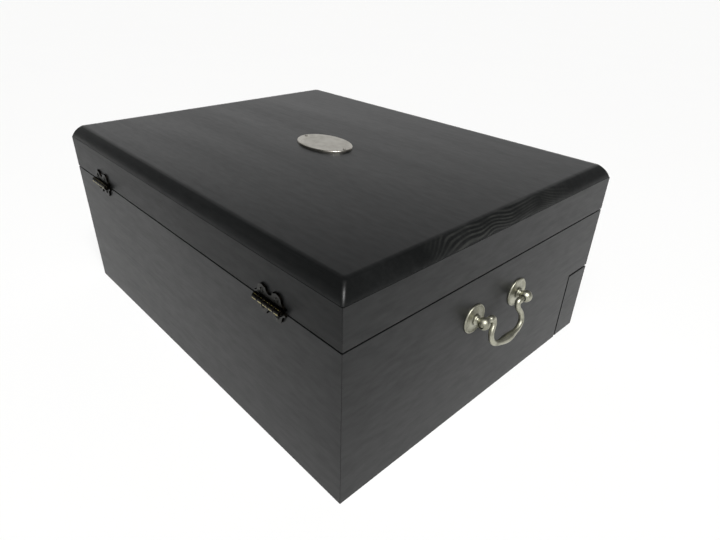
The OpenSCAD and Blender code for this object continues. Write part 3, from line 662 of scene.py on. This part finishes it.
class CHEST_OT_lid(Operator):
    """Makes the lid's top board and rails"""
    bl_idname = "chest.lid"
    bl_label = "Lid"

    def execute(self, context):
        sizes = context.scene.chest_sizes
        size = (TOP_HIGH.x - TOP_LOW.x, TOP_HIGH.y - TOP_LOW.y)
        radius = (TOP_HIGH.z - TOP_LOW.z + sizes.edge_drop) / math.cos(sizes.edge_arris)
        first = math.asin((sizes.edge_drop + sizes.base_line) / radius)
        centre = (radius * math.cos(first), TOP_LOW.z - sizes.edge_drop)
        curve = arc(centre, radius, 180 - math.degrees(first), 90 + math.degrees(sizes.edge_arris), 16)
        rings = [(sizes.base_line, TOP_LOW.z)] + curve
        rings.append((curve[-1][0] + sizes.edge_soft, TOP_HIGH.z))
        foot = [side - 2 * sizes.base_line for side in size]
        bm = rounded_sheet(foot, TOP_LOW.z, sizes.corner, 16)
        piece("lid_board", raised(bm, size, rings), finish("ebonised_lid"), "lid_top_board", smooth=40.0)
        boards(
            sizes.board_ease,
            ("front_rail", "lid_front_rail", "ebonised_board"),
            ("back_rail", "lid_back_rail", "ebonised_rail_shaded"),
            ("left_rail", "lid_left_rail", "ebonised_end"),
            ("right_rail", "lid_right_rail", "ebonised_end"))
        return {"FINISHED"}


class CHEST_OT_drawer(Operator):
    """Makes the boards of the drawer"""
    bl_idname = "chest.drawer"
    bl_label = "Drawer"

    def execute(self, context):
        boards(
            context.scene.chest_sizes.board_ease,
            ("drawer_face", "drawer_front", "ebonised_board"),
            ("left_return", "drawer_left_return", "ebonised_end"),
            ("right_return", "drawer_right_return", "ebonised_end"),
            ("inner_face", "drawer_inner_front", "inner_board"),
            ("left_drawer_side", "drawer_left_side", "inner_end"),
            ("right_drawer_side", "drawer_right_side", "inner_end"),
            ("drawer_back_board", "drawer_back", "inner_board"),
            ("drawer_bottom_board", "drawer_bottom", "inner_board"))
        return {"FINISHED"}


class CHEST_OT_nameplate(Operator):
    """Makes the bare oval nameplate and its two pins"""
    bl_idname = "chest.nameplate"
    bl_label = "Nameplate"

    pin_head = 1.5 * MM
    pin_shank = 0.8 * MM
    pin_in = 1.466 * MM

    def execute(self, context):
        low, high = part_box("nameplate")
        size = (high.x - low.x, high.y - low.y)
        round_off = context.scene.chest_sizes.plate_round
        bm = bmesh.new()
        bmesh.ops.create_circle(
            bm, cap_ends=True, segments=96, radius=0.5,
            matrix=Matrix.LocRotScale((0, 0, low.z), None, (size[0], size[1], 1)))
        rings = [(0.0, low.z)] + arc((round_off, high.z - round_off), round_off, 180, 90, 6)
        rings.append((round_off + 0.5 * MM, high.z))
        piece("oval_plate", raised(bm, size, rings), finish("brushed_nickel"), "nameplate", smooth=25.0)
        self.pins(low.z, high.z)
        return {"FINISHED"}

    def pins(self, base, face):
        """Two domed pins, with painted shade round the foot of their heads."""
        low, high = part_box("nameplate_pins")
        head, reach = high.z - face, self.pin_head
        profile = [(0.0, base), (self.pin_shank, base), (self.pin_shank, face), (reach, face)]
        profile += [(reach * math.cos(a), face + head * math.sin(a)) for a in (0.3, 0.6, 0.9, 1.2)]
        profile.append((0.0, high.z))
        both = bmesh.new()
        for side in (low.x + self.pin_in, high.x - self.pin_in):
            # Painted shade round the foot of each pin's head
            pin = mark_shade_and_grime(turned(profile, 20), lambda radius, height: 0.9 if height < face + 0.3 * head else 0.0)
            add_part(both, pin, Matrix.Translation((side, 0, 0)))
        piece("plate_pins", both, finish("brushed_nickel"), "nameplate_pins")


class CHEST_OT_hinges(Operator):
    """Makes the two scalloped hinges, their pins and their screws"""
    bl_idname = "chest.hinges"
    bl_label = "Hinges"

    barrel = 33 * MM
    knuckles = 5
    radius = 2.9 * MM
    pin = 1.2 * MM
    leaf = 1.8 * MM
    gap = 0.15 * MM
    lobe_out = 9.1 * MM

    def execute(self, context):
        width = context.scene.chest_sizes.leaf_ease
        bronze = finish("patinated_bronze")
        for side in ("left", "right"):
            low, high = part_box(side + "_hinge_pin")
            axis = (low + high) / 2
            for part, up in (("lid", 1), ("body", -1)):
                solid = side + "_hinge_" + part + "_leaf"
                bm = self.leaf_and_knuckles(axis, up, width)
                self.rub(bm, axis)
                piece(side + "_" + part + "_leaf", bm, bronze, solid, smooth=20.0)
            piece(side + "_hinge_rod", self.rod(axis, high.x - low.x), bronze, side + "_hinge_pin")
        for part in ("lid", "body"):
            self.screws(part, bronze)
        return {"FINISHED"}

    def own(self, up):
        """Which knuckles belong to the lid's leaf, or to the body's."""
        return range(1 if up > 0 else 0, self.knuckles, 2)

    def outline(self, up):
        """The scalloped leaf above the hinge axis: two lobes, a notch between them, hollow shoulders.

        It is drawn in mm. Its foot reaches into its own knuckles and stays clear of the others.
        """
        lobe, notch, hollow = (self.lobe_out / MM, 6.8), (0.0, 11.0), (18.6, 7.5)
        half = arc(notch, 4.2, 270, 360, 7)
        half += arc(lobe, 5.2, 126.1, 7.7, 12)
        half += arc(hollow, 4.3, 180, 270, 7)
        half.append((18.6, 2.1))
        near, far = 0.3, 3.2
        pitch = self.barrel / MM / self.knuckles
        gap = self.gap / MM
        foot = []
        for i in range(self.knuckles - 1, -1, -1):
            mine = i in self.own(up)
            height, spare = (near, -gap) if mine else (far, gap)
            start = -self.barrel / MM / 2 + i * pitch
            foot += [(start + pitch + spare, height), (start - spare, height)]
        mirrored = [(-x, y) for x, y in reversed(half[1:])]
        return [(x * MM, y * MM) for x, y in half + foot + mirrored]

    def leaf_and_knuckles(self, axis, up, width):
        """A leaf flat on the wood, with its share of the barrel."""
        bm = bmesh.new()
        leaf = plate_of(self.outline(up), self.leaf, width)
        stand = Matrix(((1, 0, 0, axis.x), (0, 0, 1, HALF_D), (0, up, 0, axis.z), (0, 0, 0, 1)))
        add_part(bm, leaf, stand)
        bmesh.ops.recalc_face_normals(bm, faces=bm.faces)
        pitch = self.barrel / self.knuckles
        half, lip, rim = pitch / 2 - self.gap, 0.3 * MM, self.radius
        profile = [
            (self.pin, -half), (rim - lip, -half), (rim, -half + lip), (rim, -half + 3 * lip),
            (rim, half - 3 * lip), (rim, half - lip), (rim - lip, half), (self.pin, half), (self.pin, -half)]
        for i in self.own(up):
            middle = Vector((axis.x - self.barrel / 2 + (i + 0.5) * pitch, axis.y, axis.z))
            add_part(bm, turned(profile, 28), Matrix.Translation(middle) @ Matrix.Rotation(QUARTER, 4, "Y"))
        return bm

    def rub(self, bm, axis):
        """Marks the leaf's flat face, painted paler as a sheen against edges left dark as painted shade, and
        the lines along the knuckles where cloths have rubbed them.
        """
        wear = bm.verts.layers.float.new("wear")
        flat = bm.verts.layers.float.new("flat")
        pitch = self.barrel / self.knuckles
        lines, spread = ((-12, 1.0), (65, 0.75)), 7
        for vert in bm.verts:
            away = vert.co - axis
            around = math.degrees(math.atan2(away.z, away.y))
            barrel = abs(Vector((away.y, away.z)).length - self.radius) < 0.02 * MM
            near = (away.x + self.barrel / 2) / pitch
            inside = abs(near - round(near)) * pitch > 0.5 * MM
            rubbed = [amount for angle, amount in lines if abs(around - angle) < spread]
            vert[wear] = max(rubbed, default=0.0) if barrel and inside else 0.0
            vert[flat] = 1.0 if abs(vert.co.y - HALF_D - self.leaf) < MERGE else 0.0

    def rod(self, axis, reach):
        """The hinge pin with its two low caps."""
        end, lip, cap = reach / 2, 0.8 * MM, 1.6 * MM
        profile = [
            (0.0, -end), (cap * 0.7, -end), (cap, -end + lip / 2), (cap, -end + lip), (self.pin, -end + lip),
            (self.pin, end - lip), (cap, end - lip), (cap, end - lip / 2), (cap * 0.7, end), (0.0, end)]
        bm = turned(profile, 24)
        bmesh.ops.transform(
            bm, matrix=Matrix.Translation(axis) @ Matrix.Rotation(QUARTER, 4, "Y"), verts=bm.verts)
        return bm

    def screws(self, part, bronze):
        """Four dome-headed slotted screws through a pair of leaves, each slot at an angle of its own."""
        solid = "hinge_" + part + "_screws"
        low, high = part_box(solid)
        both = bmesh.new()
        level = (low.z + high.z) / 2
        for side in ("left", "right"):
            pin_low, pin_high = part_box(side + "_hinge_pin")
            middle = (pin_low.x + pin_high.x) / 2
            for reach in (-self.lobe_out, self.lobe_out):
                place = Matrix.Translation((middle + reach, HALF_D + self.leaf, level))
                spin = Matrix.Rotation(0.5 + reach * 90 + middle * 7, 4, "Z")
                add_part(both, self.screw(), place @ Matrix.Rotation(-QUARTER, 4, "X") @ spin)
        piece("hinge_" + part + "_fixings", both, bronze, solid)

    def screw(self):
        """A screw with its head above z = 0, a slot across it and its shank below."""
        head, rise, shank = 2.16 * MM, 0.9 * MM, 1.2 * MM
        slot, slot_deep = 0.28 * MM, 0.4 * MM
        profile = [(0.0, -6 * MM), (shank * 0.6, -5.2 * MM), (shank, -4 * MM), (shank, 0.0), (head, 0.0)]
        for a in (0.0, 0.35, 0.7, 1.05, 1.3):
            profile.append((head * math.cos(a), rise * (0.25 + 0.75 * math.sin(a))))
        profile.append((0.0, rise))
        bm = turned(profile, 24)
        # The whole screw takes the paler flat-face colour, a painted sheen
        flat = bm.verts.layers.float.new("flat")
        for vert in bm.verts:
            vert[flat] = 1.0
        for edge in (-slot, slot):
            bmesh.ops.bisect_plane(
                bm, geom=bm.verts[:] + bm.edges[:] + bm.faces[:], dist=MERGE,
                plane_co=(edge, 0, 0), plane_no=(1, 0, 0))
        strip = [
            face for face in bm.faces
            if abs(face.calc_center_median().x) < slot and face.calc_center_median().z > rise * 0.3]
        drawn_out(bm, strip, (0, 0, -slot_deep))
        return bm


class CHEST_OT_handles(Operator):
    """Makes the side handles and the drawer pulls: rosettes, ball posts and swan-neck bails"""
    bl_idname = "chest.handles"
    bl_label = "Handles"

    span = 31.75 * MM
    ball = 5.5 * MM
    ball_out = 10.0 * MM
    bore_deep = 2.4 * MM
    bail_top = 2.5 * MM
    lean = math.radians(14)

    def execute(self, context):
        sizes = context.scene.chest_sizes
        plating = finish("aged_nickel")
        left = self.end_place("left_bail", -1)
        right = self.end_place("right_bail", 1)
        pulls = [self.pull_place("left_pull_bail"), self.pull_place("right_pull_bail")]
        for name, places, rosettes, posts in (
                ("left_handle", [left], "left_handle_rosettes", "left_handle_posts"),
                ("right_handle", [right], "right_handle_rosettes", "right_handle_posts"),
                ("pull", pulls, "drawer_pull_rosettes", "drawer_pull_posts")):
            piece(name + "_roses", self.pairs(places, self.rosette), plating, rosettes)
            piece(name + "_balls", self.pairs(places, lambda: self.post(sizes.bore)), plating, posts)
        for name, place, tilt, solid in (
                ("left_bail_bar", left, self.lean, "left_bail"),
                ("right_bail_bar", right, self.lean, "right_bail"),
                ("left_pull_bar", pulls[0], 0.0, "left_pull_bail"),
                ("right_pull_bar", pulls[1], 0.0, "right_pull_bail")):
            bm = self.bail(sizes.bead / MM)
            hang = Matrix.Translation((0, 0, self.ball_out)) @ Matrix.Rotation(-tilt, 4, "X")
            bmesh.ops.transform(bm, matrix=place @ hang, verts=bm.verts)
            piece(name, bm, plating, solid, smooth=40.0)
        dress(plating, "left_handle_screws", "right_handle_screws", "drawer_pull_screws")
        return {"FINISHED"}

    def end_place(self, bail, side):
        """The place of a handle on an end of the chest: x along its span, y up, z out of the wood."""
        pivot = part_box(bail)[1].z - self.bail_top
        return Matrix((
            (0, 0, side, side * HALF_W), (side, 0, 0, 0), (0, 1, 0, pivot), (0, 0, 0, 1)))

    def pull_place(self, bail):
        """The place of a pull on the drawer front, with the same axes."""
        low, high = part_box(bail)
        pivot = high.z - self.bail_top
        return Matrix((
            (1, 0, 0, (low.x + high.x) / 2), (0, 0, -1, -HALF_D), (0, 1, 0, pivot), (0, 0, 0, 1)))

    def pairs(self, places, make):
        """A part at both ends of each handle's span."""
        bm = bmesh.new()
        for place in places:
            for side in (-1, 1):
                turn = Matrix.Rotation(0.0 if side > 0 else math.pi, 4, "Z")
                add_part(bm, make(), place @ Matrix.Translation((side * self.span, 0, 0)) @ turn)
        return bm

    def rosette(self):
        """A thin turned disc, dished between a raised rim and the foot of the post."""
        points = [
            (2.05, 0.0), (13.3, 0.0), (13.5, 0.2), (13.5, 0.5), (13.43, 0.85), (13.23, 1.15),
            (12.94, 1.34), (12.6, 1.4), (12.25, 1.25), (11.95, 0.98), (11.5, 0.75), (9.5, 0.72),
            (7.6, 0.9), (6.2, 1.2), (5.2, 1.6), (4.7, 2.0), (2.05, 2.0), (2.05, 0.0)]
        bm = turned([(r * MM, h * MM) for r, h in points], 64)
        edge, fade = 6.0 * MM, 1.4 * MM
        # The disc darkens towards the foot of the post: painted shade and old polish
        return mark_shade_and_grime(bm, lambda radius, height: 0.6 * max(0.0, min(1.0, (edge - radius) / fade)))

    def post(self, bore):
        """A collar, a waisted neck and a ball, bored for the bail along x."""
        points = [
            (0.0, 2.0), (4.1, 2.0), (4.45, 2.25), (4.62, 2.7), (4.62, 3.15), (4.45, 3.6), (4.1, 3.95),
            (3.6, 4.25), (3.2, 4.6), (3.05, 5.0), (3.25, 5.6)]
        profile = [(r * MM, h * MM) for r, h in points]
        profile += arc((0.0, self.ball_out), self.ball, -50, 90, 20)[:-1]
        profile.append((0.0, self.ball_out + self.ball))
        bm = turned(profile, 40)
        cut_at = math.sqrt(self.ball ** 2 - bore ** 2)
        for side in (-1, 1):
            cut = bmesh.ops.bisect_plane(
                bm, geom=bm.verts[:] + bm.edges[:] + bm.faces[:], dist=MERGE,
                plane_co=(side * cut_at, 0, self.ball_out), plane_no=(side, 0, 0), clear_outer=True)
            rim = [item for item in cut["geom_cut"] if isinstance(item, bmesh.types.BMEdge)]
            made = bmesh.ops.extrude_edge_only(bm, edges=rim)
            bmesh.ops.translate(bm, vec=(-side * self.bore_deep, 0, 0), verts=moved(made, bmesh.types.BMVert))
            bmesh.ops.edgeloop_fill(bm, edges=moved(made, bmesh.types.BMEdge))
        bmesh.ops.recalc_face_normals(bm, faces=bm.faces)
        return self.post_shade_and_grime(bm, cut_at)

    def post_shade_and_grime(self, bm, cut_at):
        """Paints shade and old polish into the neck and round the foot, and paints the bores dark as shade.
        """
        layer = mark_shade_and_grime(bm, self.neck_shade_and_grime).verts.layers.float["shade_and_grime"]
        bore_wall, mouth = 2.95 * MM, 1 * MM
        for vert in bm.verts:
            deep = Vector((vert.co.y, vert.co.z - self.ball_out)).length < bore_wall
            # The bores are painted fully dark, as shade
            if deep and abs(vert.co.x) < cut_at - mouth:
                vert[layer] = 1.0
        return bm

    def neck_shade_and_grime(self, radius, height):
        """Painted shade and old polish round the foot and in the neck of a post."""
        foot, neck, fade = 2.1 * MM, 5.2 * MM, 0.8 * MM
        return 0.6 if height < foot else max(0.0, 0.5 - abs(height - neck) / fade)

    def bail(self, bead):
        """A swan-neck bar, drawn in mm as points and radii from one end to the middle, and then mirrored.

        It has a domed pivot end, a bead, a slim arm that swings out to the belly, and a grip that swells.
        """
        neck, belly, drop, low = 17.95, 23.15, 16.47, 27.0
        elbow, arm, swell = 3.1, 2.5, 1.5
        tip, tip_end, dome = 2.35, 36.65, 1.1
        line = []
        for turn in (15, 35, 55, 75, 90):
            a = math.radians(turn)
            line.append(((tip_end - dome * (1 - math.cos(a)), 0.0), tip * math.sin(a)))
        for x, r in (
                (34.0, tip), (33.0, 2.0), (26.0, 2.1), (24.6, 2.15), (23.9, 2.5), (22.9, 2.9),
                (21.9, bead), (20.9, bead - 0.05)):
            line.append(((x, 0.0), r))
        for i in range(1, 7):
            a = QUARTER * i / 6
            line.append(((neck + elbow * (1 - math.sin(a)), -elbow * (1 - math.cos(a))), 3.0 - 0.5 * i / 6))
        bend, steps = drop * 0.55, 12
        for i in range(1, steps + 1):
            x, y = self.cubic((neck, -elbow), (neck, -bend), (belly, -bend), (belly, -drop), i / steps)
            line.append(((x, y), arm - 0.05))
        side, deep, steps = belly * 0.62, low * 0.89, 18
        for i in range(1, steps + 1):
            x, y = self.cubic((belly, -drop), (belly, -deep), (side, -low), (0.0, -low), i / steps)
            line.append(((x, y), arm + swell * math.cos(QUARTER * min(1.0, x / side)) ** 2))
        line += [((-x, y), r) for (x, y), r in reversed(line[:-1])]
        path = []
        for i, ((x, y), r) in enumerate(line):
            (x0, y0), (x1, y1) = line[max(0, i - 1)][0], line[min(len(line) - 1, i + 1)][0]
            path.append((Vector((x, y, 0)) * MM, Vector((x1 - x0, y1 - y0, 0)).normalized(), r * MM))
        return swept(path)

    def cubic(self, a, b, c, d, t):
        """A point of the cubic curve from a to d, drawn towards b and c."""
        s = 1 - t
        shares = (s ** 3, 3 * s * s * t, 3 * s * t * t, t ** 3)
        return [sum(share * value for share, value in zip(shares, axis)) for axis in zip(a, b, c, d)]


class CHEST_OT_stays(Operator):
    """Makes the slotted lid stays with their studs and pivots"""
    bl_idname = "chest.stays"
    bl_label = "Lid stays"

    edge = 0.25 * MM

    def execute(self, context):
        plating = finish("brushed_nickel")
        for name, solid in (
                ("left_stay_bar", "left_stay_arm"), ("right_stay_bar", "right_stay_arm"),
                ("stud_bolts", "stay_studs"), ("pivot_bolts", "stay_pivots")):
            piece(name, eased_copy(solid, self.edge, 2, 0.0), plating, solid, smooth=30.0)
        return {"FINISHED"}


class CHEST_OT_linings(Operator):
    """Makes the cloth linings, the flatware racks, the lid panel and the divider"""
    bl_idname = "chest.linings"
    bl_label = "Linings and racks"

    thin = 0.3 * MM

    def execute(self, context):
        sizes = context.scene.chest_sizes
        flannel, felt = finish("brushed_flannel"), finish("pressed_felt")
        for name, solid, width in (
                ("floor_cloth", "floor_lining", sizes.cloth_ease),
                ("wall_cloth", "wall_linings", sizes.cloth_ease),
                ("front_comb", "front_rack", sizes.rack_ease),
                ("rear_comb", "rear_rack", sizes.rack_ease),
                ("drawer_cloth", "drawer_lining", self.thin),
                ("divider_cloth", "drawer_divider", sizes.rack_ease)):
            piece(name, eased_copy(solid, width, 4), flannel, solid, smooth=40.0)
        piece("felt_sole", eased_copy("base_felt", self.thin), felt, "base_felt", smooth=40.0)
        self.lid_pad(flannel)
        self.declare()
        return {"FINISHED"}

    def lid_pad(self, flannel):
        """The panel inside the lid: thin wadding under cloth, fullest in the middle."""
        low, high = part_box("lid_panel")
        size = (high.x - low.x, high.y - low.y)
        thick = high.z - low.z
        bm = rounded_sheet(size, high.z, 1 * MM)
        # Each ring's inset in mm, and the share of the panel's thickness there
        rings = [
            (0.0, 0.0), (0.0, 0.35), (0.5, 0.5), (2.0, 0.66), (6.0, 0.8), (16.0, 0.91), (36.0, 0.98),
            (60.0, 1.0)]
        pad = raised(bm, size, [(inset * MM, high.z - share * thick) for inset, share in rings])
        bmesh.ops.translate(pad, vec=((low.x + high.x) / 2, (low.y + high.y) / 2, 0), verts=pad.verts)
        made = piece("lid_cloth", pad, flannel, "lid_panel", smooth=40.0)

    def declare(self):
        """Takes no step: the cloths are not declared as sheets here."""


class CHEST_OT_bumpers(Operator):
    """Makes the lid bumpers and the drawer buffers"""
    bl_idname = "chest.bumpers"
    bl_label = "Bumpers"

    buffer_edge = 1.5 * MM

    def execute(self, context):
        rubber = finish("soft_rubber")
        low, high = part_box("lid_bumpers")
        rise, reach = high.z - low.z, (high.y - low.y) / 2
        shoulder, dome = low.z + rise * 0.4, rise * 0.6
        profile = [(0.0, low.z), (reach, low.z), (reach, shoulder)]
        profile += arc((reach - dome, shoulder), dome, 22, 90, 4)
        profile.append((0.0, high.z))
        both = bmesh.new()
        for side in (low.x + reach, high.x - reach):
            add_part(both, turned(profile, 32), Matrix.Translation((side, (low.y + high.y) / 2, 0)))
        piece("rim_bumpers", both, rubber, "lid_bumpers")
        buffers = eased_copy("drawer_buffers", self.buffer_edge, 4)
        piece("back_buffers", buffers, rubber, "drawer_buffers", smooth=40.0)
        return {"FINISHED"}


OPERATORS = (
    CHEST_OT_studio, CHEST_OT_body, CHEST_OT_lid, CHEST_OT_drawer, CHEST_OT_nameplate, CHEST_OT_hinges,
    CHEST_OT_handles, CHEST_OT_stays, CHEST_OT_linings, CHEST_OT_bumpers)


class CHEST_PT_sidebar(Panel):
    """Lists the chest's settings and the operators that make it"""
    bl_idname = "CHEST_PT_sidebar"
    bl_label = "Silverware Chest"
    bl_space_type = "VIEW_3D"
    bl_region_type = "UI"
    bl_category = "Chest"

    def draw(self, context):
        layout = self.layout
        for group in (context.scene.chest_sizes, context.scene.chest_finishes, context.scene.chest_studio):
            column = layout.column(align=True)
            for name in group.__annotations__:
                column.prop(group, name)
        for operator in OPERATORS:
            layout.operator(operator.bl_idname)


CLASSES = (ChestSizes, ChestFinishes, StudioSettings) + OPERATORS + (CHEST_PT_sidebar,)


def register():
    for cls in CLASSES:
        bpy.utils.register_class(cls)
    bpy.types.Scene.chest_sizes = PointerProperty(type=ChestSizes)
    bpy.types.Scene.chest_finishes = PointerProperty(type=ChestFinishes)
    bpy.types.Scene.chest_studio = PointerProperty(type=StudioSettings)


def unregister():
    del bpy.types.Scene.chest_studio
    del bpy.types.Scene.chest_finishes
    del bpy.types.Scene.chest_sizes
    for cls in reversed(CLASSES):
        bpy.utils.unregister_class(cls)


def main():
    register()
    bpy.ops.chest.studio()
    bpy.ops.chest.body()
    bpy.ops.chest.lid()
    bpy.ops.chest.drawer()
    bpy.ops.chest.nameplate()
    bpy.ops.chest.hinges()
    bpy.ops.chest.handles()
    bpy.ops.chest.stays()
    bpy.ops.chest.linings()
    bpy.ops.chest.bumpers()


if __name__ == "__main__":
    main()
